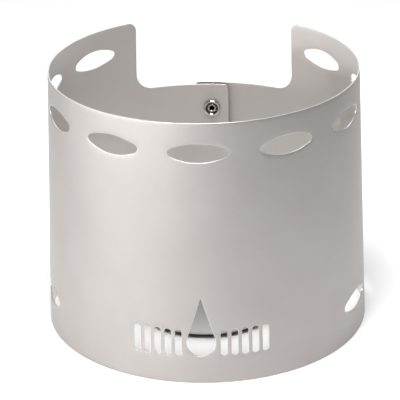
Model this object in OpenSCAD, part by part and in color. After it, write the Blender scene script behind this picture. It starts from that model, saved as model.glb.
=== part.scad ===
// Alcohol spirit stove: a rolled sheet-steel windscreen that carries the pot on its rim,
// closed by two press studs, with a lift-out spirit burner standing inside it.
// Millimetres. +Z is up, the origin is the centre of the foot rim, the seam is on +Y.

/* [Windscreen] */
// Outer diameter at the top rim
top_d = 130; // [124:1:136]
// Outer diameter at the bottom rim
bottom_d = 138; // [136:1:144]
// Height of the windscreen
screen_h = 112.5; // [108:0.5:120]
// Thickness of the sheet
sheet_t = 0.5; // [0.4:0.1:0.6]
// Air gap between the two layers at the seam
layer_gap = 2.4; // [2.4:0.1:2.6]
// Half of the angle over which the two ends overlap
lap_half_a = 6.7; // [6:0.1:8]
// Corner radius of the two sheet ends
end_corner_r = 2.2; // [1.5:0.1:3]

/* [Notch] */
// Half of the angle that the notch spans
notch_half_a = 32.1; // [30:0.1:34]
// Height of the notch floor
notch_z = 80; // [78:0.5:82]
// Fillet radius at the notch floor
notch_floor_r = 8; // [6:0.5:9]
// Corner radius where the notch meets the top rim
notch_rim_r = 4; // [3:0.5:5]

/* [Vents] */
// Length of an oval vent
oval_l = 24; // [20:0.5:25]
// Height of an oval vent
oval_h = 8; // [6:0.5:8.5]
// Radius of an oval's ends
oval_end_r = 1.9; // [1.5:0.1:2.2]
// Height of the upper row's centres
upper_row_z = 100; // [98:0.5:102]
// Angle between upper vents
upper_step_a = 32.3; // [31:0.1:33]
// Height of the lower row's centres
lower_row_z = 16; // [14:0.5:18]
// Angle between lower vents
lower_step_a = 36; // [35:0.1:37]

/* [Emblem] */
// Height of the emblem's lower edge
emblem_z = 12; // [11:0.5:14]
// Height of the flame
flame_h = 26; // [22:0.5:28]
// Radius of the flame's round foot
flame_r = 6; // [5:0.25:6.5]
// Number of upright slots on each side of the flame
slot_count = 5; // [3:1:5]
// Height of an upright slot
slot_h = 12; // [10:0.5:13]
// Width of an upright slot
slot_w = 2.8; // [2.4:0.1:3]

/* [Press studs] */
// Height of the upper press stud
stud_upper_z = 68.5; // [66:0.5:70]
// Height of the lower press stud
stud_lower_z = 12; // [10:0.5:14]
// Diameter of the outer cap
cap_d = 10.4; // [10:0.1:12]
// Diameter of the eyelet's flange
eyelet_d = 7.7; // [7.4:0.1:8.2]

/* [Burner] */
// Radius of the burner's cup
cup_r = 31; // [30.5:0.1:31.5]
// Wall thickness of the burner's spun and pressed parts
spun_t = 0.6; // [0.5:0.1:0.7]
// Height of the jet ring's top face
jet_ring_z = 36; // [35:0.5:37]
// Number of jets
jet_count = 24; // [16:1:30]
// Radius of a jet hole
jet_r = 0.6; // [0.4:0.1:0.8]
// Inner radius of the fuel well
well_r = 22.4; // [22:0.1:22.8]
// Radius of the screw cap
lid_r = 27.2; // [26.8:0.1:27.6]
// Number of flutes round the screw cap
flute_count = 30; // [20:1:36]

/* [Flame regulator] */
// Inner radius of the regulator's skirt
skirt_r = 33.2; // [33:0.1:33.4]
// Radius of the regulator's opening
mouth_r = 19; // [17:0.5:20]
// Radius of the shutter
shutter_r = 21; // [20.5:0.5:22]
// Length of the folding handle
handle_l = 22; // [18:1:23]
// Radius of the handle's wire
wire_r = 1; // [0.8:0.1:1]

/* [Hidden] */
$fn = 96;

// Windscreen, worked out
slope = (bottom_d - top_d) / 2 / screen_h;
lean_a = atan(slope);
// The back half is two arcs about a centre moved by seam_shift: the left one is
// smaller and ends inside, the right one is larger and ends outside.
seam_shift = (layer_gap + sheet_t) / 2;
flex_a = 22;          // from the seam to the line where the outer end flexes
cut_r = 100;          // longer than any radius of the windscreen
cut_h = screen_h + 20;
oval_flank_r = (pow(oval_l / 2, 2) - oval_l * oval_end_r + pow(oval_h / 2, 2))
    / (2 * (oval_h / 2 - oval_end_r));
snap_hole_r = 2.1;
// The middle of the rolled blank lies this far round from the front, because the right
// back arc is longer than the left one. The upper vents and the emblem are centred on it.
blank_shift_a = 90 * seam_shift / (top_d / 2);

// Emblem, worked out: a flame between upright slots, centred on the blank
slot_step = slot_w + 1.6;
slot_start = flame_r + slot_w / 2 + 2;

// Press stud, along its own axis from the inner face of the inner layer
outer_layer_n = sheet_t + layer_gap;
snap_gap = 0.12;      // between a pressed piece and the sheet it is riveted to

// Burner, worked out
well_t = spun_t;
bead_z = 28;
jet_wall_r = skirt_r - 0.7;
lid_top_z = jet_ring_z + 4;
seal_r = 1.58;
seal_ring_r = 24.2;
plate_z = lid_top_z + 0.05;
pivot_r = 30.3;
handle_x = -(skirt_r + 3.1);
handle_z = 36;
handle_half_w = 10.4;
lug_y = 8;
lug_t = 0.8;

// A flat sector from angle a0 to a1, measured from +Y towards +X
module sector(a0, a1, r) {
    steps = ceil((a1 - a0) / 30);
    polygon(concat([[0, 0]],
        [for (i = [0:steps]) let (a = a0 + (a1 - a0) * i / steps) [r * sin(a), r * cos(a)]]));
}

// Turns a flat shape, x along the wall and y up, into a cutter through the wall at angle a
// from +Y towards +X and height z
module through_wall(a, z) {
    translate([0, 0, z]) rotate([0, 0, -a]) rotate([90, 0, 180])
        translate([0, 0, cut_r / 3]) linear_extrude(cut_r) children();
}

// What rounds off a square corner at the origin, reaching past both of its edges. The arc
// crosses them at a small angle instead of touching, which keeps the solids clean.
module corner_2d(r) {
    difference() {
        translate([-1, -1]) square(r + 1);
        translate([r, r]) circle(r + 0.03);
    }
}

// An oval of four tangent arcs
module oval_2d() {
    straight = oval_l / 2 - oval_end_r;
    // where the end arcs meet the flank arcs
    meet_x = straight * oval_flank_r / (oval_flank_r - oval_end_r);
    for (side = [-1, 1]) translate([side * straight, 0]) circle(oval_end_r);
    intersection() {
        translate([0, oval_flank_r - oval_h / 2]) circle(oval_flank_r, $fn = 240);
        translate([0, oval_h / 2 - oval_flank_r]) circle(oval_flank_r, $fn = 240);
        square([2 * meet_x, oval_h], center = true);
    }
}

// A flame: a round foot with a drawn-out tip. The flanks start just inside the circle, so they
// cross it at a small angle.
module flame_2d() {
    tip = flame_h - flame_r;
    reach = 0.995 * flame_r;
    flank_a = asin(reach / tip);
    half_w = reach * cos(flank_a);
    translate([0, flame_r]) {
        circle(flame_r);
        polygon([[-half_w, reach * sin(flank_a)], [0, tip], [half_w, reach * sin(flank_a)]]);
    }
}

// An upright slot with round ends
module slot_2d() {
    translate([-slot_w / 2, slot_w / 2]) square([slot_w, slot_h - slot_w]);
    for (y = [slot_w / 2, slot_h - slot_w / 2]) translate([0, y]) circle(slot_w / 2);
}

module emblem_cut() {
    middle_a = 180 - blank_shift_a;
    wall_r = bottom_d / 2 - slope * emblem_z;
    through_wall(middle_a, emblem_z) flame_2d();
    for (side = [-1, 1], i = [0:slot_count - 1])
        through_wall(middle_a + side * (slot_start + i * slot_step) / wall_r * 180 / PI, emblem_z) slot_2d();
}

module vents_cut() {
    for (i = [-4:4]) through_wall(180 - blank_shift_a + i * upper_step_a, upper_row_z) oval_2d();
    for (side = [-1, 1], i = [2:4]) through_wall(180 + side * i * lower_step_a, lower_row_z) oval_2d();
}

module notch_cut() {
    difference() {
        translate([0, 0, notch_z]) linear_extrude(cut_h) sector(-notch_half_a, notch_half_a, cut_r);
        through_wall(-notch_half_a, notch_z) mirror([1, 0]) corner_2d(notch_floor_r);
        through_wall(notch_half_a, notch_z) corner_2d(notch_floor_r);
    }
    through_wall(-notch_half_a, screen_h) mirror([0, 1]) corner_2d(notch_rim_r);
    through_wall(notch_half_a, screen_h) rotate(180) corner_2d(notch_rim_r);
}

// The axis of a press stud, square to the leaning wall, from the inner layer's inner face
module snap_axis(z) {
    inner_r = bottom_d / 2 - slope * z - seam_shift - sheet_t / cos(lean_a);
    translate([-seam_shift, inner_r, z]) rotate([lean_a - 90, 0, 0]) children();
}

module snap_holes() {
    for (z = [stud_lower_z, stud_upper_z])
        snap_axis(z) translate([0, 0, -3]) cylinder(h = 10, r = snap_hole_r);
}

// A leaning wall of the sheet's thickness, its outer face grown by extra, between two angles
module wall(extra, a0, a1) {
    wall_t = sheet_t / cos(lean_a);
    intersection() {
        difference() {
            cylinder(h = screen_h, r1 = bottom_d / 2 + extra, r2 = top_d / 2 + extra, $fn = 240);
            translate([0, 0, -1])
                cylinder(h = screen_h + 2, r1 = bottom_d / 2 + extra - wall_t + slope,
                    r2 = top_d / 2 + extra - wall_t - slope, $fn = 240);
        }
        translate([0, 0, -2]) linear_extrude(screen_h + 4) sector(a0, a1, cut_r * 1.2);
    }
}

// Rounds the two corners of a sheet end; side is 1 where the sheet comes from the left
module end_corners(a, side) {
    through_wall(a, 0) scale([side, 1]) corner_2d(end_corner_r);
    through_wall(a, notch_z) scale([side, -1]) corner_2d(end_corner_r);
}

module screen_sheet() {
    color("silver") difference() {
        union() {
            wall(0, 90, 270);
            translate([-seam_shift, 0, 0]) {
                wall(-seam_shift, -90, lap_half_a);
                wall(seam_shift, flex_a, 90);
            }
        }
        vents_cut();
        emblem_cut();
        notch_cut();
        snap_holes();
        translate([-seam_shift, 0, 0]) end_corners(lap_half_a, 1);
    }
}

module screen_flap() {
    color("silver") difference() {
        translate([-seam_shift, 0, 0]) wall(seam_shift, -lap_half_a, flex_a);
        notch_cut();
        snap_holes();
        translate([-seam_shift, 0, 0]) end_corners(-lap_half_a, -1);
    }
}

// Press stud: the eyelet's barrel passes the inner layer and holds the stud behind it. Towards
// the inside it ends in a rounded lip, inside a rolled outer rim.
module snap_eyelet(z) {
    rim_r = 0.55;
    lip_r = 0.39;
    bore_r = 1.17;
    color("gainsboro") snap_axis(z) rotate_extrude() {
        translate([bore_r, -0.5]) square([2 * lip_r, 2]);
        translate([bore_r + lip_r, -0.5]) circle(lip_r);
        translate([bore_r + lip_r, -0.4]) square([eyelet_d / 2 - bore_r - lip_r - rim_r, 0.25]);
        translate([eyelet_d / 2 - rim_r, -0.15 - rim_r]) circle(rim_r);
    }
}

module snap_stud(z) {
    color("gainsboro") snap_axis(z) translate([0, 0, sheet_t + snap_gap]) rotate_extrude() {
        translate([2.05, 0]) square([1.55, 0.3]);
        translate([3.6, 0.15]) circle(0.15);
        translate([2.05, 0]) square([0.12, 1.1]);
        translate([2.02, 1.2]) circle(0.2);
        translate([0.9, 1.22]) square([1.12, 0.18]);
    }
}

// A ring spring, open at one side, that grips under the stud's head
module snap_spring(z) {
    color("dimgray") snap_axis(z) translate([0, 0, 1.7])
        rotate([0, 0, 20]) rotate_extrude(angle = 320) translate([2.75, 0]) circle(0.28, $fn = 24);
}

module snap_socket(z) {
    color("gainsboro") snap_axis(z) translate([0, 0, outer_layer_n - 0.16]) mirror([0, 0, 1]) rotate_extrude() {
        translate([1.75, 0]) square([2.35, 0.3]);
        translate([3.8, 0]) square([0.3, 1.6]);
        translate([2.7, 1.35]) square([1.4, 0.25]);
        translate([2.7, 1.475]) circle(0.125, $fn = 24);
    }
}

module snap_cap(z) {
    dome_r = cap_d / 2;
    color("gainsboro") snap_axis(z) translate([0, 0, outer_layer_n + sheet_t + snap_gap]) rotate_extrude() {
        // dome, rolled edge, post and the post's flared end
        intersection() {
            translate([0, -7.6]) circle(9.6, $fn = 120);
            translate([0, 0.5]) square([dome_r - 0.5, 2]);
        }
        translate([0, 0.2]) square([dome_r - 0.5, 0.31]);
        translate([dome_r - 0.5, 0.5]) circle(0.5);
        translate([0, -sheet_t - 0.6]) square([1.6, sheet_t + 0.81]);
        translate([0, -sheet_t - 0.83]) square([2, 0.25]);
    }
}

// A spun cup: a foot ring, a rounded edge, a straight wall and a flared, beaded rim
module burner_cup() {
    foot_r = 26;
    edge_r = 4;
    color("lightgray") difference() {
        rotate_extrude() difference() {
            union() {
                translate([0, edge_r]) square([cup_r, bead_z - edge_r]);
                square([cup_r - edge_r, edge_r]);
                translate([cup_r - edge_r, edge_r]) circle(edge_r);
                polygon([[0, bead_z - 5], [cup_r, bead_z - 5], [jet_wall_r + spun_t, bead_z - 2],
                    [jet_wall_r + spun_t, bead_z + 0.6], [0, bead_z + 0.6]]);
                translate([jet_wall_r + spun_t, bead_z - 0.4]) circle(1);
            }
            translate([0, edge_r]) square([cup_r - spun_t, bead_z]);
            translate([0, spun_t]) square([cup_r - edge_r, edge_r]);
            translate([cup_r - edge_r, edge_r]) circle(edge_r - spun_t);
            polygon([[0, bead_z - 5], [cup_r - spun_t, bead_z - 5], [jet_wall_r, bead_z - 2],
                [jet_wall_r, bead_z + 2], [0, bead_z + 2]]);
        }
        // a shallow ring is pressed into the base
        rotate_extrude() translate([foot_r - 5, -1]) square([3, 1.2]);
    }
}

// The jet ring and the inner wall are one pressing: it closes the cup and forms the fuel well
module burner_well() {
    color("lightgray") difference() {
        rotate_extrude() difference() {
            union() {
                translate([well_r, 1.2]) square([well_t, jet_ring_z - 1.8]);
                translate([well_r + 0.6, jet_ring_z - 0.6]) circle(0.6);
                translate([well_r + 0.6, jet_ring_z - well_t]) square([jet_wall_r - 3.6 - well_r, well_t]);
                polygon([[jet_wall_r - 3, jet_ring_z], [jet_wall_r - 3, jet_ring_z - well_t],
                    [jet_wall_r - well_t, jet_ring_z - 2.6], [jet_wall_r - well_t, bead_z - 1],
                    [jet_wall_r - 0.05, bead_z - 1], [jet_wall_r - 0.05, jet_ring_z - 2.2]]);
            }
        }
        for (i = [0:jet_count - 1]) rotate([0, 0, (i + 0.5) * 360 / jet_count])
            translate([jet_wall_r - 4.6, 0, jet_ring_z - 2]) cylinder(h = 4, r = jet_r, $fn = 24);
        // four ports let the fuel through to the wick
        for (a = [0:90:270]) rotate([0, 0, a]) translate([well_r + 0.3, 0, 3.2]) rotate([0, 90, 0])
            cylinder(h = 4, r = 1.5, center = true, $fn = 32);
    }
}

module wick_ring() {
    color("ivory") rotate_extrude() difference() {
        translate([well_r + well_t + 0.4, 1.6]) square([cup_r - spun_t - well_r - well_t - 1.2, 22]);
        translate([cup_r - spun_t, 1]) rotate(45) square(4, center = true);
    }
}

// Screw cap: a fluted lip over the seal and a threaded skirt that enters the well
module screw_cap() {
    skirt_out = well_r - 0.9;
    color("lightgray") difference() {
        rotate_extrude() {
            translate([0, lid_top_z - 0.8]) square([lid_r - 0.8, 0.8]);
            translate([lid_r - 0.8, lid_top_z - 0.8]) circle(0.8);
            translate([lid_r - 0.8, lid_top_z - 3.2]) square([0.8, 2.4]);
            translate([skirt_out - 0.8, lid_top_z - 9.5]) square([0.8, 9]);
        }
        for (i = [0:flute_count - 1]) rotate([0, 0, i * 360 / flute_count])
            translate([lid_r + 0.75, 0, lid_top_z - 4]) cylinder(h = 6, r = 1, $fn = 32);
    }
}

module cap_seal() {
    color("black") translate([0, 0, jet_ring_z + seal_r + 0.01])
        rotate_extrude() translate([seal_ring_r, 0]) circle(seal_r - 0.02, $fn = 48);
}

module regulator_ring() {
    skirt_out = skirt_r + spun_t;
    color("lightgray") difference() {
        union() {
            rotate_extrude() {
                translate([mouth_r, plate_z]) square([skirt_r - mouth_r - 0.6, spun_t]);
                difference() {
                    translate([skirt_r - 0.9, plate_z - 0.9]) circle(1.5);
                    translate([skirt_r - 0.9, plate_z - 0.9]) circle(0.9);
                    translate([skirt_r - 3, plate_z - 3]) square([4, 2.1]);
                    translate([skirt_r - 3, plate_z - 3]) square([2.1, 4]);
                }
                translate([skirt_r, jet_ring_z - 5.8]) square([spun_t, plate_z - 0.9 - jet_ring_z + 5.8]);
                translate([skirt_r + 0.5, jet_ring_z - 5.8]) circle(0.5);
            }
            // two lugs carry the handle
            for (side = [-1, 1]) translate([0, side * lug_y, handle_z]) rotate([90, 0, 0])
                translate([0, 0, -lug_t / 2]) linear_extrude(lug_t) {
                    translate([handle_x, 0]) circle(2.4, $fn = 48);
                    translate([handle_x, -2.4]) square([-handle_x - sqrt(pow(skirt_out, 2)
                        - pow(lug_y, 2)) + 0.5, 4.8]);
                }
        }
        translate([handle_x, 0, handle_z]) rotate([90, 0, 0])
            cylinder(h = 30, r = wire_r + 0.08, center = true);
        translate([0, pivot_r, plate_z - 1]) cylinder(h = 3, r = 1.5);
    }
}

module regulator_shutter() {
    base = plate_z + spun_t + 0.08;
    tab_w = 8;
    color("lightgray") {
        difference() {
            translate([0, 0, base]) linear_extrude(spun_t) union() {
                circle(shutter_r);
                translate([0, pivot_r]) circle(4);
                translate([-4, 0]) square([8, pivot_r]);
                translate([-tab_w / 2, -shutter_r - 2]) square([tab_w, 4]);
            }
            translate([0, pivot_r, base - 1]) cylinder(h = 3, r = 1.58);
        }
        translate([-tab_w / 2, -shutter_r - 2, base]) cube([tab_w, spun_t, 4.5]);
        translate([0, -shutter_r - 2, base + 4.5]) rotate([-90, 0, 0])
            cylinder(h = spun_t, r = tab_w / 2);
    }
}

module shutter_rivet() {
    top = plate_z + 2 * spun_t + 0.16;
    color("silver") translate([0, pivot_r, 0]) rotate_extrude() {
        translate([0, plate_z - 0.7]) square([1.48, top - plate_z + 0.8]);
        translate([0, plate_z - 0.75]) square([2, 0.73]);
        intersection() {
            translate([0, top - 2.3]) circle(3.4);
            translate([0, top]) square([2.5, 2]);
        }
    }
}

// A wire bail, hanging, whose ends turn in through the two lugs
module regulator_handle() {
    bend = 3;
    low = handle_z - handle_l;
    color("silver") translate([handle_x, 0, 0]) for (side = [-1, 1]) mirror([0, side > 0 ? 0 : 1, 0]) {
        translate([0, handle_half_w - bend, low + bend]) rotate([0, -90, 0]) rotate([0, 0, 90])
            rotate_extrude(angle = 90) translate([bend, 0]) circle(wire_r, $fn = 32);
        translate([0, handle_half_w, low + bend]) cylinder(h = handle_l - bend - 1.8, r = wire_r);
        translate([0, handle_half_w - 1.8, handle_z - 1.8]) rotate([0, -90, 0]) rotate_extrude(angle = 90)
            translate([1.8, 0]) circle(wire_r, $fn = 32);
        translate([0, handle_half_w - 1.8, handle_z]) rotate([90, 0, 0]) cylinder(h = 2.4, r = wire_r);
        translate([0, 0, low]) rotate([-90, 0, 0]) cylinder(h = handle_half_w - bend, r = wire_r);
    }
}

screen_sheet();
screen_flap();
snap_cap(stud_upper_z);  // upper_snap_cap
snap_socket(stud_upper_z);  // upper_snap_socket
snap_spring(stud_upper_z);  // upper_snap_spring
snap_stud(stud_upper_z);  // upper_snap_stud
snap_eyelet(stud_upper_z);  // upper_snap_eyelet
snap_cap(stud_lower_z);  // lower_snap_cap
snap_socket(stud_lower_z);  // lower_snap_socket
snap_spring(stud_lower_z);  // lower_snap_spring
snap_stud(stud_lower_z);  // lower_snap_stud
snap_eyelet(stud_lower_z);  // lower_snap_eyelet
burner_cup();
burner_well();
wick_ring();
screw_cap();
cap_seal();
regulator_ring();
regulator_shutter();
shutter_rivet();
regulator_handle();
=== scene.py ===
"""Looks for a camping spirit stove: a rolled steel windscreen round a steel spirit burner.

Everything is in metres in the row frame: +Z up, the seam with its press studs on +Y.
"""

import math

import bpy
from mathutils import Matrix, Vector, noise
from mathutils.geometry import delaunay_2d_cdt

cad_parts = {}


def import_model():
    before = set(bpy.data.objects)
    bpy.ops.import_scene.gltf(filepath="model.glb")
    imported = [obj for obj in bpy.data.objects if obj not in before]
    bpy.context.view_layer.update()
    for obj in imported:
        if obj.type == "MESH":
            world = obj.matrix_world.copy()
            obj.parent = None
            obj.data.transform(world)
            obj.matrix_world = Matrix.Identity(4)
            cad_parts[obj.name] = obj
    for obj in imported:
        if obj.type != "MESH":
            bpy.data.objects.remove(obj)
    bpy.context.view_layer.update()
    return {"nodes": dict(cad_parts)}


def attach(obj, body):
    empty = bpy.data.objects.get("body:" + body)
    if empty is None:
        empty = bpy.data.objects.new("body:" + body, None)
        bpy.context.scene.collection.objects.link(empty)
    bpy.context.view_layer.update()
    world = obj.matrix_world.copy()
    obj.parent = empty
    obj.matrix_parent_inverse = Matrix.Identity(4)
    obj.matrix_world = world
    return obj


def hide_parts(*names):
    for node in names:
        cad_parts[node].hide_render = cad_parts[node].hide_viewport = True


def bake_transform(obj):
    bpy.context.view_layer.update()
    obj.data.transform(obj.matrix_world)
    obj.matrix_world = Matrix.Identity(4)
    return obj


MM = 0.001

# Windscreen, in millimetres and degrees: the same figures as the CAD
FOOT_R = 69.0
RIM_R = 65.0
SCREEN_H = 112.5
SHEET_T = 0.5
SLOPE = (FOOT_R - RIM_R) / SCREEN_H
LEAN = math.atan(SLOPE)
SEAM_SHIFT = 1.45          # the back arcs' centre is this far to the left
LAP_HALF_A = 6.7
NOTCH_HALF_A = 32.1
NOTCH_Z = 80.0
NOTCH_FLOOR_R = 8.0
NOTCH_RIM_R = 4.0
END_CORNER_R = 2.2
FLAT_R = 67.0              # turns an angle along the sheet into a length on the flat blank
SPLIT_A = 24.5             # the blank is two meshes that meet here, from +Y towards +X
OVAL_L = 24.0
OVAL_H = 8.0
OVAL_END_R = 1.9
UPPER_Z = 100.0
UPPER_STEP_A = 32.3
LOWER_Z = 16.0
LOWER_STEP_A = 36.0
EMBLEM_Z = 12.0            # the lower edge of the flame and the slots
FLAME_H = 26.0
FLAME_R = 6.0
SLOT_COUNT = 5             # on each side of the flame
SLOT_H = 12.0
SLOT_W = 2.8
SLOT_STEP = SLOT_W + 1.6
SLOT_START = FLAME_R + SLOT_W / 2 + 2.0
BLANK_SHIFT_A = 90 * SEAM_SHIFT / RIM_R   # the blank's middle lies this far off the front
STUD_HEIGHTS = (12.0, 68.5)
SNAP_HOLE_R = 2.1
EDGE_R = 0.12              # rounding of the cut edges
EDGE_STEPS = 4             # from the sheet's face to the middle of the cut edge
GRID_S = 1.6               # spacing of the mesh's inner points along the sheet
GRID_Z = 2.6
CLEAR = 1.0                # inner points stay this far from every outline

# Burner, in millimetres
WELL_R = 22.4
CAP_SKIRT_R = 21.5
HEAT_TINT_Z = 26.0         # the straw tint fades in above this height
THREAD_PITCH = 3.0
THREAD_HALF_W = 0.8
THREAD_DEPTH = 0.5
THREAD_ROOT = 0.05         # the ridge starts this far off the wall
CAP_THREAD_Z, CAP_TURNS = 31.6, 1.6
WELL_THREAD_Z, WELL_TURNS = 28.0, 2.2
WICK_R_IN, WICK_R_OUT = 23.4, 29.6
WICK_Z_LOW, WICK_Z_HIGH = 1.7, 23.5
WICK_CORNER_R = 2.4


# ---------------------------------------------------------------- flat blank to rolled sheet

def arc_at(t):
    """Centre x and the radius added to the front's, at t degrees from the seam leftwards."""
    if t < 90:
        return -SEAM_SHIFT, -SEAM_SHIFT
    if t > 270:
        return -SEAM_SHIFT, SEAM_SHIFT
    return 0.0, 0.0


def rolled(s, z, n):
    """The point of the rolled sheet at length s and height z on the blank, n outward of mid-wall."""
    t = math.degrees(s / FLAT_R)
    centre, extra = arc_at(t)
    radius = FOOT_R + extra - SLOPE * z - SHEET_T / 2 / math.cos(LEAN) + n * math.cos(LEAN)
    a = math.radians(-t)
    return Vector((centre + radius * math.sin(a), radius * math.cos(a), z + n * math.sin(LEAN))) * MM


def on_blank(u, z, a, layer=None):
    """Where a cutter's point, u to the right and z high on a flat facing angle a, meets the blank."""
    across = Vector((-math.cos(a), math.sin(a)))
    along = Vector((math.sin(a), math.cos(a)))
    turn = math.degrees(a) % 360
    if layer == "inner" or (layer is None and turn > 270):
        centre, extra = -SEAM_SHIFT, -SEAM_SHIFT
    elif layer == "outer" or (layer is None and turn < 90):
        centre, extra = -SEAM_SHIFT, SEAM_SHIFT
    else:
        centre, extra = 0.0, 0.0
    radius = FOOT_R + extra - SLOPE * z - SHEET_T / 2
    start = across * u - Vector((centre, 0.0))
    b = start.dot(along)
    reach = -b + math.sqrt(b * b - start.length_squared + radius * radius)
    p = start + along * reach
    t = math.degrees(math.atan2(-p.x, p.y))
    if layer != "inner" and t < (0 if layer is None else 60):
        t += 360
    if layer == "inner" and t > 180:
        t -= 360
    return FLAT_R * math.radians(t), z


def arc_points(cx, cy, r, a0, a1, step):
    """Points of an arc from a0 to a1 degrees, both ends included."""
    count = max(2, math.ceil(abs(math.radians(a1 - a0)) * r / step))
    angles = [math.radians(a0 + (a1 - a0) * i / count) for i in range(count + 1)]
    return [(cx + r * math.cos(a), cy + r * math.sin(a)) for a in angles]


def resampled(points, step):
    """A closed loop with extra points wherever two of its points are further apart than step."""
    out = []
    for (x0, y0), (x1, y1) in zip(points, points[1:] + points[:1]):
        count = max(1, math.ceil(math.hypot(x1 - x0, y1 - y0) / step))
        out += [(x0 + (x1 - x0) * i / count, y0 + (y1 - y0) * i / count) for i in range(count)]
    return out


def without_doubles(points):
    """The loop without points that repeat the one before."""
    out = []
    for p in points:
        if not out or math.dist(p, out[-1]) > 0.02:
            out.append(p)
    if math.dist(out[0], out[-1]) <= 0.02:
        out.pop()
    return out


def oval():
    """An oval of four tangent arcs, about its centre."""
    half_l, half_h = OVAL_L / 2, OVAL_H / 2
    flank_r = (half_l**2 - 2 * half_l * OVAL_END_R + half_h**2) / (2 * (half_h - OVAL_END_R))
    straight = half_l - OVAL_END_R
    turn = math.degrees(math.asin(straight / (flank_r - OVAL_END_R)))
    loop = arc_points(straight, 0, OVAL_END_R, turn - 90, 90 - turn, 0.4)
    loop += arc_points(0, half_h - flank_r, flank_r, 90 - turn, 90 + turn, 0.7)
    loop += arc_points(-straight, 0, OVAL_END_R, 90 + turn, 270 - turn, 0.4)
    loop += arc_points(0, flank_r - half_h, flank_r, 270 - turn, 270 + turn, 0.7)
    return without_doubles(loop)


def flame():
    """A flame: a round foot with a drawn-out tip."""
    tip = FLAME_H - FLAME_R
    reach = 0.995 * FLAME_R
    # where the flank, which runs to the tip, leaves the foot's circle
    leave = math.degrees(math.asin(reach / tip) + math.acos(reach / FLAME_R))
    foot = arc_points(0, FLAME_R, FLAME_R, 180 - leave, 360 + leave, 0.6)
    return without_doubles(resampled(foot + [(0.0, FLAME_H)], 0.8))


def slot():
    """An upright slot with round ends."""
    half_w = SLOT_W / 2
    loop = arc_points(0, half_w, half_w, 180, 360, 0.35)
    loop += arc_points(0, SLOT_H - half_w, half_w, 0, 180, 0.35)
    return without_doubles(resampled(loop, 0.8))


def circle(r):
    """A round hole about its centre."""
    return arc_points(0, 0, r, 0, 360, 0.35)[:-1]


def put(shape, a_deg, z, layer=None):
    """A cutter's outline laid on the blank."""
    a = math.radians(a_deg)
    return [on_blank(u, z + v, a, layer) for u, v in shape]


def holes():
    """The outlines of all cut-outs inside the blank."""
    middle = 180 - BLANK_SHIFT_A
    found = [put(oval(), middle + i * UPPER_STEP_A, UPPER_Z) for i in range(-4, 5)]
    for side in (-1, 1):
        found += [put(oval(), 180 + side * i * LOWER_STEP_A, LOWER_Z) for i in (2, 3, 4)]
    wall_r = FOOT_R - SLOPE * EMBLEM_Z
    found.append(put(flame(), middle, EMBLEM_Z))
    for side in (-1, 1):
        for i in range(SLOT_COUNT):
            turn = side * math.degrees((SLOT_START + i * SLOT_STEP) / wall_r)
            found.append(put(slot(), middle + turn, EMBLEM_Z))
    seam_turn = math.degrees(SEAM_SHIFT / FOOT_R)
    for z in STUD_HEIGHTS:
        for layer in ("inner", "outer"):
            found.append(put(circle(SNAP_HOLE_R), -seam_turn, z, layer))
    return found


def outline(part):
    """The outer loop of the blank's main part or of its flap, anticlockwise, and its split edge."""
    lap = FLAT_R * math.radians(LAP_HALF_A)
    split = FLAT_R * math.radians(360 - SPLIT_A)
    far = FLAT_R * math.radians(360 + LAP_HALF_A)
    ec, nf, nr = END_CORNER_R, NOTCH_FLOOR_R, NOTCH_RIM_R
    step = 0.5
    if part == "flap":
        loop = [(split, 0.0)]
        loop += arc_points(far - ec, ec, ec, 270, 360, step)
        loop += arc_points(far - ec, NOTCH_Z - ec, ec, 0, 90, step)
        loop += [(split, NOTCH_Z)]
        return without_doubles(loop), split
    left = on_blank(0, NOTCH_Z, math.radians(-NOTCH_HALF_A), "inner")[0]
    right = on_blank(0, NOTCH_Z, math.radians(NOTCH_HALF_A), "outer")[0]
    left_lean = on_blank(0, SCREEN_H, math.radians(-NOTCH_HALF_A), "inner")[0] - left
    right_lean = on_blank(0, SCREEN_H, math.radians(NOTCH_HALF_A), "outer")[0] - right
    loop = arc_points(-lap + ec, ec, ec, 180, 270, step)
    loop += [(split, 0.0), (split, NOTCH_Z)]
    loop += arc_points(right + nf, NOTCH_Z + nf, nf, 270, 180, step)
    loop += arc_points(right + right_lean - nr, SCREEN_H - nr, nr, 0, 90, step)
    loop += arc_points(left + left_lean + nr, SCREEN_H - nr, nr, 90, 180, step)
    loop += arc_points(left - nf, NOTCH_Z + nf, nf, 0, -90, step)
    loop += arc_points(-lap + ec, NOTCH_Z - ec, ec, 90, 180, step)
    return without_doubles(loop), split


def signed_area(loop):
    """The area within a loop, negative where it turns clockwise."""
    return sum(x0 * y1 - x1 * y0 for (x0, y0), (x1, y1) in zip(loop, loop[1:] + loop[:1])) / 2


def outward(loop, split):
    """For each point, the direction out of the sheet in the blank's plane, none on the split edge."""
    found = []
    for i, (x, y) in enumerate(loop):
        (xa, ya), (xb, yb) = loop[i - 1], loop[(i + 1) % len(loop)]
        d0 = Vector((x - xa, y - ya)).normalized()
        d1 = Vector((xb - x, yb - y)).normalized()
        if abs(x - split) < 1e-6:
            found.append(Vector((0.0, 1.0 if y > 1 else -1.0)) if y < 0.01 or y > NOTCH_Z - 0.01
                         else Vector((0.0, 0.0)))
            continue
        n = (Vector((d0.y, -d0.x)) + Vector((d1.y, -d1.x)))
        found.append(n * 2 / max(n.length_squared, 1.0))
    return found


def inside(loop, x, y):
    """Whether a point lies within a loop."""
    odd = False
    for (x0, y0), (x1, y1) in zip(loop, loop[1:] + loop[:1]):
        if (y0 > y) != (y1 > y) and x < x0 + (y - y0) / (y1 - y0) * (x1 - x0):
            odd = not odd
    return odd


def near_any(cells, x, y, reach):
    """Whether a boundary point is closer than reach."""
    key = (round(x / reach), round(y / reach))
    for i in (-1, 0, 1):
        for j in (-1, 0, 1):
            for px, py in cells.get((key[0] + i, key[1] + j), ()):
                if math.hypot(px - x, py - y) < reach:
                    return True
    return False


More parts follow.
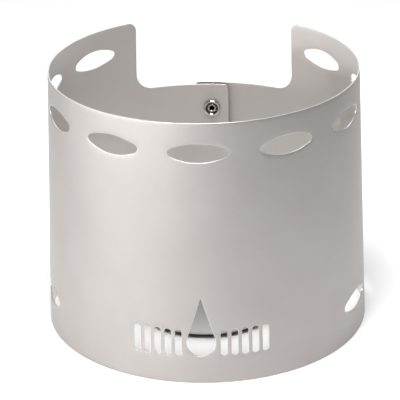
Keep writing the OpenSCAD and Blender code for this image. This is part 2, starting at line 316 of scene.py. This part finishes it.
def blank_loops(part):
    """One part's outlines, each with the directions out of the sheet, and the split edge."""
    border, split = outline(part)
    loops = [resampled(border, 1.2)]
    loops += [h for h in holes() if (h[0][0] > split) == (part == "flap")]
    found = []
    for k, loop in enumerate(loops):
        want = 1 if k == 0 else -1
        loop = loop if signed_area(loop) * want > 0 else loop[::-1]
        found.append((loop, outward(loop, split)))
    return found, split


def face_grid(inset):
    """Points spread evenly over the face, clear of its outlines."""
    cells = {}
    for loop in inset:
        for p in loop:
            cells.setdefault((round(p[0] / CLEAR), round(p[1] / CLEAR)), []).append(p)
    low = min(p[0] for p in inset[0])
    high = max(p[0] for p in inset[0])
    cols, rows = int((high - low) / GRID_S), int(SCREEN_H / GRID_Z)
    found = []
    for i in range(1, cols):
        x = low + (high - low) * i / cols
        nearby = [h for h in inset[1:] if abs(h[0][0] - x) < OVAL_L * 1.2]
        for j in range(1, rows):
            y = SCREEN_H * (j + (0.5 if i % 2 else 0.0)) / rows
            if y >= SCREEN_H or not inside(inset[0], x, y) or near_any(cells, x, y, CLEAR):
                continue
            if not any(inside(h, x, y) for h in nearby):
                found.append(Vector((x, y)))
    return found


def flat_face(inset):
    """The face as flat points and triangles, and the number each outline point has among them."""
    points = [Vector(p) for loop in inset for p in loop]
    edges, base = [], 0
    for loop in inset:
        edges += [(base + i, base + (i + 1) % len(loop)) for i in range(len(loop))]
        base += len(loop)
    out = delaunay_2d_cdt(points + face_grid(inset), edges, [], 1, 1e-6)
    flat, triangles, origin = out[0], out[2], out[3]
    boxes = [(min(p[0] for p in h), max(p[0] for p in h), h) for h in inset[1:]]
    kept = []
    for tri in triangles:
        x = sum(flat[i].x for i in tri) / 3
        y = sum(flat[i].y for i in tri) / 3
        if any(x0 < x < x1 and inside(h, x, y) for x0, x1, h in boxes):
            continue
        area = signed_area([(flat[i].x, flat[i].y) for i in tri])
        kept.append(tuple(tri) if area > 0 else tuple(tri)[::-1])
    where = {old: new for new, olds in enumerate(origin) for old in olds}
    return flat, kept, where


def edge_section(x, y, n):
    """Points over the rounded cut edge, from the outer face to the inner one."""
    section = []
    for side, order in ((1, range(1, EDGE_STEPS + 1)), (-1, range(EDGE_STEPS, 0, -1))):
        for k in order:
            a = math.pi / 2 * k / EDGE_STEPS
            back = EDGE_R * (1 - math.sin(a))
            up = SHEET_T / 2 - EDGE_R * (1 - math.cos(a))
            section.append(rolled(x - n.x * back, y - n.y * back, side * up))
    return section


def piece(name, co, faces, mats, numbers=None):
    """A smooth shaded object from points in metres; numbers say which material each face has."""
    mesh = bpy.data.meshes.new(name)
    mesh.from_pydata(co, [], faces)
    for mat in mats:
        mesh.materials.append(mat)
    if numbers:
        mesh.polygons.foreach_set("material_index", numbers)
    mesh.polygons.foreach_set("use_smooth", [True] * len(faces))
    mesh.validate()
    mesh.update()
    obj = bpy.data.objects.new(name, mesh)
    bpy.context.scene.collection.objects.link(obj)
    return obj


def sheet_mesh(name, part, mats):
    """A closed sheet with rounded cut edges, rolled up from the blank.

    Its materials are the outer face's, the cut edge's, the inner face's (a paler copy, as painted light)
    and the overlap's (dark, as painted shade)."""
    outer, edge, inner, lap = range(4)
    loops, split = blank_loops(part)
    # the faces end EDGE_R short of the cut edge, which is rounded
    inset = [[(x - n.x * EDGE_R, y - n.y * EDGE_R) for (x, y), n in zip(lp, ns)] for lp, ns in loops]
    flat, kept, where = flat_face(inset)
    half = SHEET_T / 2
    co = [rolled(p.x, p.y, half) for p in flat] + [rolled(p.x, p.y, -half) for p in flat]
    count = len(flat)
    # on the blank s runs rightwards seen from outside, so the outer face's corners keep their turn
    faces = list(kept) + [tuple(i + count for i in reversed(tri)) for tri in kept]
    # inner faces on the hidden overlap take the dark painted shade material, the others the paler
    # painted light one
    lap_start = FLAT_R * math.radians(360 - LAP_HALF_A + 0.6)
    numbers = [outer] * len(kept)
    numbers += [lap if min(flat[i].x for i in tri) > lap_start else inner for tri in kept]
    base = 0
    on_split = set()
    for loop, normals in loops:
        rings = []
        for i, ((x, y), n) in enumerate(zip(loop, normals)):
            section = edge_section(x, y, n)
            first = where[base + i]
            ring = [first, *range(len(co), len(co) + len(section)), first + count]
            co += section
            rings.append(ring)
            if abs(x - split) < 1e-6:
                on_split.update(ring)
        for a, b in zip(rings, rings[1:] + rings[:1]):
            for k in range(len(a) - 1):
                faces.append((a[k], a[k + 1], b[k + 1], b[k]))
                numbers.append(edge)
        base += len(loop)
    obj = piece(name, co, faces, mats, numbers)
    # a sharp split edge keeps the shading of both parts the same where they meet
    for mesh_edge in obj.data.edges:
        ends = mesh_edge.vertices
        mesh_edge.use_edge_sharp = ends[0] in on_split and ends[1] in on_split
    return obj


# ---------------------------------------------------------------- materials

def new_material(name, color, metallic, roughness):
    """A material with fixed values for what no pattern drives."""
    mat = bpy.data.materials.new(name)
    mat.use_nodes = True
    tree = mat.node_tree
    shader = tree.nodes["Principled BSDF"]
    shader.inputs["Base Color"].default_value = (*color, 1.0)
    shader.inputs["Metallic"].default_value = metallic
    shader.inputs["Roughness"].default_value = roughness
    return mat, tree, shader


def object_noise(tree, scale, detail, stretch=(1.0, 1.0, 1.0)):
    """Noise fixed to the object; stretch above 1 shortens it along that axis."""
    coords = tree.nodes.new("ShaderNodeTexCoord")
    mapping = tree.nodes.new("ShaderNodeMapping")
    mapping.inputs["Scale"].default_value = stretch
    pattern = tree.nodes.new("ShaderNodeTexNoise")
    pattern.inputs["Scale"].default_value = scale
    pattern.inputs["Detail"].default_value = detail
    tree.links.new(coords.outputs["Object"], mapping.inputs["Vector"])
    tree.links.new(mapping.outputs["Vector"], pattern.inputs["Vector"])
    return pattern.outputs["Fac"]


def spread(tree, source, low, high, from_low=0.3, from_high=0.7):
    """The source's value mapped to low..high."""
    node = tree.nodes.new("ShaderNodeMapRange")
    node.inputs["From Min"].default_value = from_low
    node.inputs["From Max"].default_value = from_high
    node.inputs["To Min"].default_value = low
    node.inputs["To Max"].default_value = high
    tree.links.new(source, node.inputs["Value"])
    return node.outputs["Result"]


def tinted(tree, source, low, high):
    """A colour between low and high."""
    node = tree.nodes.new("ShaderNodeMix")
    node.data_type = "RGBA"
    node.inputs["A"].default_value = (*low, 1.0)
    node.inputs["B"].default_value = (*high, 1.0)
    tree.links.new(source, node.inputs["Factor"])
    return node.outputs["Result"]


def bumped(tree, shader, source, strength, distance):
    """Adds a bump to the shader, on top of any that it has."""
    node = tree.nodes.new("ShaderNodeBump")
    node.inputs["Strength"].default_value = strength
    node.inputs["Distance"].default_value = distance
    tree.links.new(source, node.inputs["Height"])
    links = shader.inputs["Normal"].links
    if links:
        tree.links.new(links[0].from_socket, node.inputs["Normal"])
    tree.links.new(node.outputs["Normal"], shader.inputs["Normal"])


def satin_steel():
    """Blasted stainless sheet: fine grain, faint mottling and very faint rolling lines."""
    mat, tree, shader = new_material("satin_steel", (0.385, 0.363, 0.35), 1.0, 0.48)
    mottle = object_noise(tree, 38.0, 3.0)
    color = tinted(tree, spread(tree, mottle, 0.0, 1.0), (0.375, 0.353, 0.34), (0.395, 0.373, 0.36))
    tree.links.new(color, shader.inputs["Base Color"])
    grain = object_noise(tree, 2600.0, 2.0)
    tree.links.new(spread(tree, grain, 0.43, 0.53), shader.inputs["Roughness"])
    bumped(tree, shader, grain, 0.12, 0.00004)
    bumped(tree, shader, object_noise(tree, 900.0, 2.0, (1.0, 1.0, 0.05)), 0.05, 0.00003)
    return mat


def inner_steel_painted_light():
    """The sheet's inner face: the same blasted steel, more matt, and painted light: a paler, less
    metallic copy that stands in for light bouncing inside the screen.
    """
    mat, tree, shader = new_material("inner_steel_painted_light", (0.70, 0.67, 0.65), 0.75, 0.52)
    mottle = object_noise(tree, 38.0, 3.0)
    color = tinted(tree, spread(tree, mottle, 0.0, 1.0), (0.69, 0.66, 0.64), (0.71, 0.68, 0.66))
    tree.links.new(color, shader.inputs["Base Color"])
    grain = object_noise(tree, 2600.0, 2.0)
    tree.links.new(spread(tree, grain, 0.47, 0.57), shader.inputs["Roughness"])
    bumped(tree, shader, grain, 0.12, 0.00004)
    return mat


def overlap_painted_shade():
    """Where the outer end of the sheet slides on the inner layer: rubbed smooth, and painted shade: dark
    mottled steel standing in for the shadowed gap between the layers.
    """
    mat, tree, shader = new_material("overlap_painted_shade", (0.16, 0.15, 0.145), 1.0, 0.3)
    overlap_mottle = object_noise(tree, 240.0, 4.0)
    color = tinted(tree, spread(tree, overlap_mottle, 0.0, 1.0), (0.12, 0.112, 0.108), (0.2, 0.19, 0.182))
    tree.links.new(color, shader.inputs["Base Color"])
    tree.links.new(spread(tree, overlap_mottle, 0.24, 0.38), shader.inputs["Roughness"])
    bumped(tree, shader, object_noise(tree, 900.0, 2.0, (0.1, 0.1, 1.0)), 0.1, 0.00003)
    return mat


def painted_recess_shade(tree, color, shade_color, reach, closed=0.35, free=0.8):
    """The colour, with painted shade in the shade colour where less than a free part of the view is open
    within reach.
    """
    shade = tree.nodes.new("ShaderNodeAmbientOcclusion")
    shade.samples = 8
    shade.inputs["Distance"].default_value = reach
    open_part = spread(tree, shade.outputs["AO"], 0.0, 1.0, closed, free)
    mix = tree.nodes.new("ShaderNodeMix")
    mix.data_type = "RGBA"
    mix.inputs["A"].default_value = (*shade_color, 1.0)
    tree.links.new(open_part, mix.inputs["Factor"])
    tree.links.new(color, mix.inputs["B"])
    return mix.outputs["Result"]


def cut_edge():
    """The sheet's laser-cut edge, brighter than its faces, with fine cross striations."""
    mat, tree, shader = new_material("cut_edge", (0.64, 0.625, 0.61), 1.0, 0.34)
    lines = object_noise(tree, 3200.0, 2.0)
    tree.links.new(spread(tree, lines, 0.28, 0.42), shader.inputs["Roughness"])
    bumped(tree, shader, lines, 0.15, 0.00003)
    return mat


def nickel():
    """Bright plating of the press studs, with light handling marks and painted shade, near black, in the
    recesses.
    """
    mat, tree, shader = new_material("nickel_plate", (0.82, 0.80, 0.77), 1.0, 0.14)
    marks = object_noise(tree, 1500.0, 4.0)
    plate = tinted(tree, spread(tree, marks, 0.0, 1.0), (0.76, 0.74, 0.71), (0.86, 0.84, 0.81))
    # painted shade: near black where a recess is mostly closed within 2.5 mm
    color = painted_recess_shade(tree, plate, (0.012, 0.011, 0.01), 2.5 * MM, 0.62, 0.88)
    tree.links.new(color, shader.inputs["Base Color"])
    tree.links.new(spread(tree, marks, 0.10, 0.22), shader.inputs["Roughness"])
    bumped(tree, shader, marks, 0.06, 0.00003)
    return mat


def wire_steel():
    """Drawn steel wire."""
    mat, tree, shader = new_material("wire_steel", (0.6, 0.59, 0.58), 1.0, 0.28)
    lines = object_noise(tree, 1200.0, 3.0, (1.0, 1.0, 0.15))
    tree.links.new(spread(tree, lines, 0.2, 0.36), shader.inputs["Roughness"])
    bumped(tree, shader, lines, 0.1, 0.00003)
    return mat


def lathe_rings(tree, pitch):
    """Fine uneven rings about the burner's axis, pitch apart."""
    coords = tree.nodes.new("ShaderNodeTexCoord")
    rings = tree.nodes.new("ShaderNodeTexWave")
    rings.wave_type = "RINGS"
    rings.rings_direction = "Z"
    rings.inputs["Scale"].default_value = 0.314 / pitch
    rings.inputs["Distortion"].default_value = 1.2
    rings.inputs["Detail"].default_value = 3.0
    tree.links.new(coords.outputs["Object"], rings.inputs["Vector"])
    return rings.outputs["Fac"]


def spun_steel(name, tint_z=None):
    """Spun stainless: rings from the lathe, faint patches, straw coloured above tint_z from heat."""
    mat, tree, shader = new_material(name, (0.56, 0.545, 0.53), 1.0, 0.24)
    patches = spread(tree, object_noise(tree, 45.0, 4.0), 0.0, 1.0)
    color = tinted(tree, patches, (0.53, 0.515, 0.5), (0.59, 0.575, 0.56))
    if tint_z is not None:
        coords = tree.nodes.new("ShaderNodeTexCoord")
        split = tree.nodes.new("ShaderNodeSeparateXYZ")
        tree.links.new(coords.outputs["Object"], split.inputs["Vector"])
        heat = spread(tree, split.outputs["Z"], 0.0, 0.7, tint_z * MM, (tint_z + 9) * MM)
        mix = tree.nodes.new("ShaderNodeMix")
        mix.data_type = "RGBA"
        mix.inputs["B"].default_value = (0.45, 0.34, 0.2, 1.0)
        tree.links.new(heat, mix.inputs["Factor"])
        tree.links.new(color, mix.inputs["A"])
        color = mix.outputs["Result"]
    # painted shade: dark brown in the recesses, where little of the view is open within 2.5 mm
    tree.links.new(painted_recess_shade(tree, color, (0.06, 0.052, 0.045), 2.5 * MM), shader.inputs["Base Color"])
    rings = lathe_rings(tree, 0.35 * MM)
    tree.links.new(spread(tree, patches, 0.2, 0.3, 0.0, 1.0), shader.inputs["Roughness"])
    bumped(tree, shader, rings, 0.1, 0.00002)
    return mat


def cotton():
    """Loose cotton: pale, matt, with tangled fibres."""
    mat, tree, shader = new_material("cotton", (0.82, 0.79, 0.72), 0.0, 0.95)
    shader.inputs["Sheen Weight"].default_value = 0.4
    fibres = object_noise(tree, 900.0, 8.0)
    color = tinted(tree, spread(tree, fibres, 0.0, 1.0), (0.66, 0.62, 0.54), (0.88, 0.86, 0.8))
    tree.links.new(color, shader.inputs["Base Color"])
    bumped(tree, shader, fibres, 0.8, 0.0004)
    return mat


def seal_rubber():
    """Black moulded rubber with a dusty bloom."""
    mat, tree, shader = new_material("seal_rubber", (0.03, 0.03, 0.03), 0.0, 0.6)
    bloom = object_noise(tree, 400.0, 5.0)
    color = tinted(tree, spread(tree, bloom, 0.0, 1.0), (0.018, 0.018, 0.018), (0.05, 0.05, 0.05))
    tree.links.new(color, shader.inputs["Base Color"])
    tree.links.new(spread(tree, bloom, 0.5, 0.72), shader.inputs["Roughness"])
    bumped(tree, shader, object_noise(tree, 2500.0, 3.0), 0.2, 0.00003)
    return mat


# ---------------------------------------------------------------- burner pieces made here

def helix(name, r_root, r_crest, z_low, turns, mat):
    """A rolled thread: a rounded ridge along a helix that fades out at both ends."""
    per_turn = 72
    total = int(turns * per_turn)
    section = 7
    fade_steps = per_turn * 0.15
    outside = r_crest > r_root
    co = []
    for i in range(total + 1):
        a = 2 * math.pi * i / per_turn
        fade = min(1.0, i / fade_steps, (total - i) / fade_steps)
        for k in range(section):
            f = k / (section - 1)
            r = r_root + (r_crest - r_root) * math.sin(math.pi * f) * fade
            across = (f - 0.5) * 2 * THREAD_HALF_W * max(fade, 0.05)
            z = z_low + THREAD_PITCH * i / per_turn + across
            co.append(Vector((r * math.cos(a), r * math.sin(a), z)) * MM)
    faces = []
    for i in range(total):
        p, q = i * section, (i + 1) * section
        faces += [(p + k, q + k, q + k + 1, p + k + 1) for k in range(section - 1)]
        # the ridge's underside closes it against the wall
        faces.append((p + section - 1, q + section - 1, q, p))
    faces.append(tuple(range(section)))
    faces.append(tuple(total * section + k for k in reversed(range(section))))
    if not outside:
        faces = [face[::-1] for face in faces]
    return piece(name, co, faces, (mat,))


def cotton_ring(mat):
    """Cotton packed between the cup's wall and the well: a soft ring with lumps and stray fibres."""
    corner = WICK_CORNER_R
    section = []
    for r, z, start in ((WICK_R_OUT - corner, WICK_Z_LOW + corner, 270),
                        (WICK_R_OUT - corner, WICK_Z_HIGH - corner, 0),
                        (WICK_R_IN + corner, WICK_Z_HIGH - corner, 90),
                        (WICK_R_IN + corner, WICK_Z_LOW + corner, 180)):
        section += arc_points(r, z, corner, start, start + 90, 0.7)
    section = resampled(without_doubles(section), 1.0)
    mid_r, mid_z = (WICK_R_IN + WICK_R_OUT) / 2, (WICK_Z_LOW + WICK_Z_HIGH) / 2
    steps = 200
    co = []
    for i in range(steps):
        a = 2 * math.pi * i / steps
        for r, z in section:
            spot = Vector((r * math.cos(a), r * math.sin(a), z))
            lumps = 0.5 + 0.5 * noise.noise(spot * 0.28)
            fibres = 0.5 + 0.5 * noise.noise(Vector((spot.x, spot.y, spot.z * 2.5)) * 1.1)
            # the part of the way towards the section's middle that the surface gives
            pull = 0.03 + 0.11 * lumps + 0.05 * fibres
            r_soft, z_soft = r + (mid_r - r) * pull, z + (mid_z - z) * pull * 0.5
            co.append(Vector((r_soft * math.cos(a), r_soft * math.sin(a), z_soft)) * MM)
    count = len(section)
    faces = []
    for i in range(steps):
        p, q = i * count, (i + 1) % steps * count
        for k in range(count):
            k_next = (k + 1) % count
            faces.append((p + k, q + k, q + k_next, p + k_next))
    return piece("wick_cotton", co, faces, (mat,))


# ---------------------------------------------------------------- camera, floor and light

# The camera, in degrees, metres and millimetres; its place is given before it is turned by its heading
HEADING, PITCH, ROLL = 4.6, 24.096, -1.049
CAMERA_PLACE = (-0.00251, -0.7716, 0.3962)
SENSOR_W, LENS = 36.0, 176.85


def place_camera():
    """A long lens, 24 degrees above the floor."""
    pitch, roll = math.radians(PITCH), math.radians(ROLL)
    turn = Matrix.Rotation(math.radians(HEADING), 3, "Z")
    forward = turn @ Vector((0, math.cos(pitch), -math.sin(pitch)))
    right = turn @ Vector((1, 0, 0))
    up = right.cross(forward)
    level_right = math.cos(roll) * right + math.sin(roll) * up
    level_up = -math.sin(roll) * right + math.cos(roll) * up
    data = bpy.data.cameras.new("camera")
    data.sensor_width = SENSOR_W
    data.lens = LENS
    data.clip_end = 20.0
    cam = bpy.data.objects.new("camera", data)
    basis = Matrix((level_right, level_up, -forward)).transposed()
    cam.matrix_world = Matrix.Translation(turn @ Vector(CAMERA_PLACE)) @ basis.to_4x4()
    bpy.context.scene.collection.objects.link(cam)
    bpy.context.scene.camera = cam


# name, azimuth from -Y towards +X, height, distance, width, height of the panel, watts
LIGHTS = (
    ("front_low", 0, 4, 1.2, 0.62, 0.26, 1.2),
    ("key_low", -30, 4, 1.2, 0.62, 0.26, 4.6),
    ("left_low", -60, 4, 1.2, 0.62, 0.26, 5.1),
    ("left_side_low", -90, 4, 1.2, 0.62, 0.26, 3.2),
    ("right_side", 125, 12, 1.6, 0.8, 0.5, 0.8),
    ("back", 180, 35, 1.1, 0.8, 0.5, 3.8),
    ("overhead", 0, 75, 0.72, 0.4, 0.4, 8.6),
)
LIGHT_TARGET = Vector((0, 0, 0.06))
WORLD_COLOR = (1.0, 0.99, 0.98, 1.0)
WORLD_STRENGTH = 0.05
FLOOR_HALF = 4.0
FLOOR_Z = -0.0001


def place_lights():
    """Soft panels round the stove, all turned to its middle."""
    for name, azimuth, height, distance, width, tall, watts in LIGHTS:
        a, e = math.radians(azimuth), math.radians(height)
        away = Vector((math.sin(a) * math.cos(e), -math.cos(a) * math.cos(e), math.sin(e)))
        data = bpy.data.lights.new(name, "AREA")
        data.shape = "RECTANGLE"
        data.size, data.size_y = width, tall
        data.energy = watts
        lamp = bpy.data.objects.new(name, data)
        lamp.location = LIGHT_TARGET + away * distance
        lamp.rotation_euler = away.to_track_quat("Z", "Y").to_euler()
        lamp.visible_camera = False
        bpy.context.scene.collection.objects.link(lamp)
    world = bpy.data.worlds.new("studio")
    world.use_nodes = True
    background = world.node_tree.nodes["Background"]
    background.inputs["Color"].default_value = WORLD_COLOR
    background.inputs["Strength"].default_value = WORLD_STRENGTH
    bpy.context.scene.world = world
    bpy.context.scene.view_settings.view_transform = "Standard"


def place_floor():
    """A plain pale floor."""
    mat = new_material("floor", (0.92, 0.92, 0.92), 0.0, 0.9)[0]
    mesh = bpy.data.meshes.new("floor")
    corners = ((-1, -1), (1, -1), (1, 1), (-1, 1))
    mesh.from_pydata([(FLOOR_HALF * x, FLOOR_HALF * y, FLOOR_Z) for x, y in corners], [], [(0, 1, 2, 3)])
    mesh.materials.append(mat)
    floor = bpy.data.objects.new("floor", mesh)
    bpy.context.scene.collection.objects.link(floor)


# ---------------------------------------------------------------- the stove

def paint(node, mat):
    """Gives a CAD node that stays its material."""
    node.data.materials.clear()
    node.data.materials.append(mat)


def windscreen():
    """The rolled sheet, and its outer end as a separate, fixed mesh."""
    mats = (satin_steel(), cut_edge(), inner_steel_painted_light(), overlap_painted_shade())
    screen = sheet_mesh("windscreen", "main", mats)
    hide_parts("screen_sheet")
    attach(screen, "screen")
    flap = sheet_mesh("windscreen_end", "flap", mats)
    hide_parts("screen_flap")
    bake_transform(flap)


def press_studs(nodes, wire):
    """Plating and spring wire for both press studs."""
    plate = nickel()
    for place in ("upper", "lower"):
        for part in ("cap", "socket", "stud", "eyelet"):
            paint(nodes[f"{place}_snap_{part}"], plate)
        paint(nodes[f"{place}_snap_spring"], wire)


def burner(nodes, wire):
    """The spirit burner: cotton and threads made here, the rest painted."""
    spun, heated = spun_steel("spun_steel"), spun_steel("heated_steel", HEAT_TINT_Z)
    wick = cotton_ring(cotton())
    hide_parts("wick_ring")
    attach(wick, "burner")
    for node in ("burner_cup", "screw_cap", "regulator_ring", "regulator_shutter"):
        paint(nodes[node], spun)
    for node in ("shutter_rivet", "regulator_handle"):
        paint(nodes[node], wire)
    paint(nodes["burner_well"], heated)
    paint(nodes["cap_seal"], seal_rubber())
    cap_thread = helix("cap_thread", CAP_SKIRT_R - THREAD_ROOT, CAP_SKIRT_R + THREAD_DEPTH,
                       CAP_THREAD_Z, CAP_TURNS, spun)
    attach(cap_thread, "cap")
    well_thread = helix("well_thread", WELL_R + THREAD_ROOT, WELL_R - THREAD_DEPTH,
                        WELL_THREAD_Z, WELL_TURNS, heated)
    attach(well_thread, "burner")


def main():
    place_camera()
    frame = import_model()
    wire = wire_steel()
    windscreen()
    press_studs(frame["nodes"], wire)
    burner(frame["nodes"], wire)
    place_floor()
    place_lights()


main()
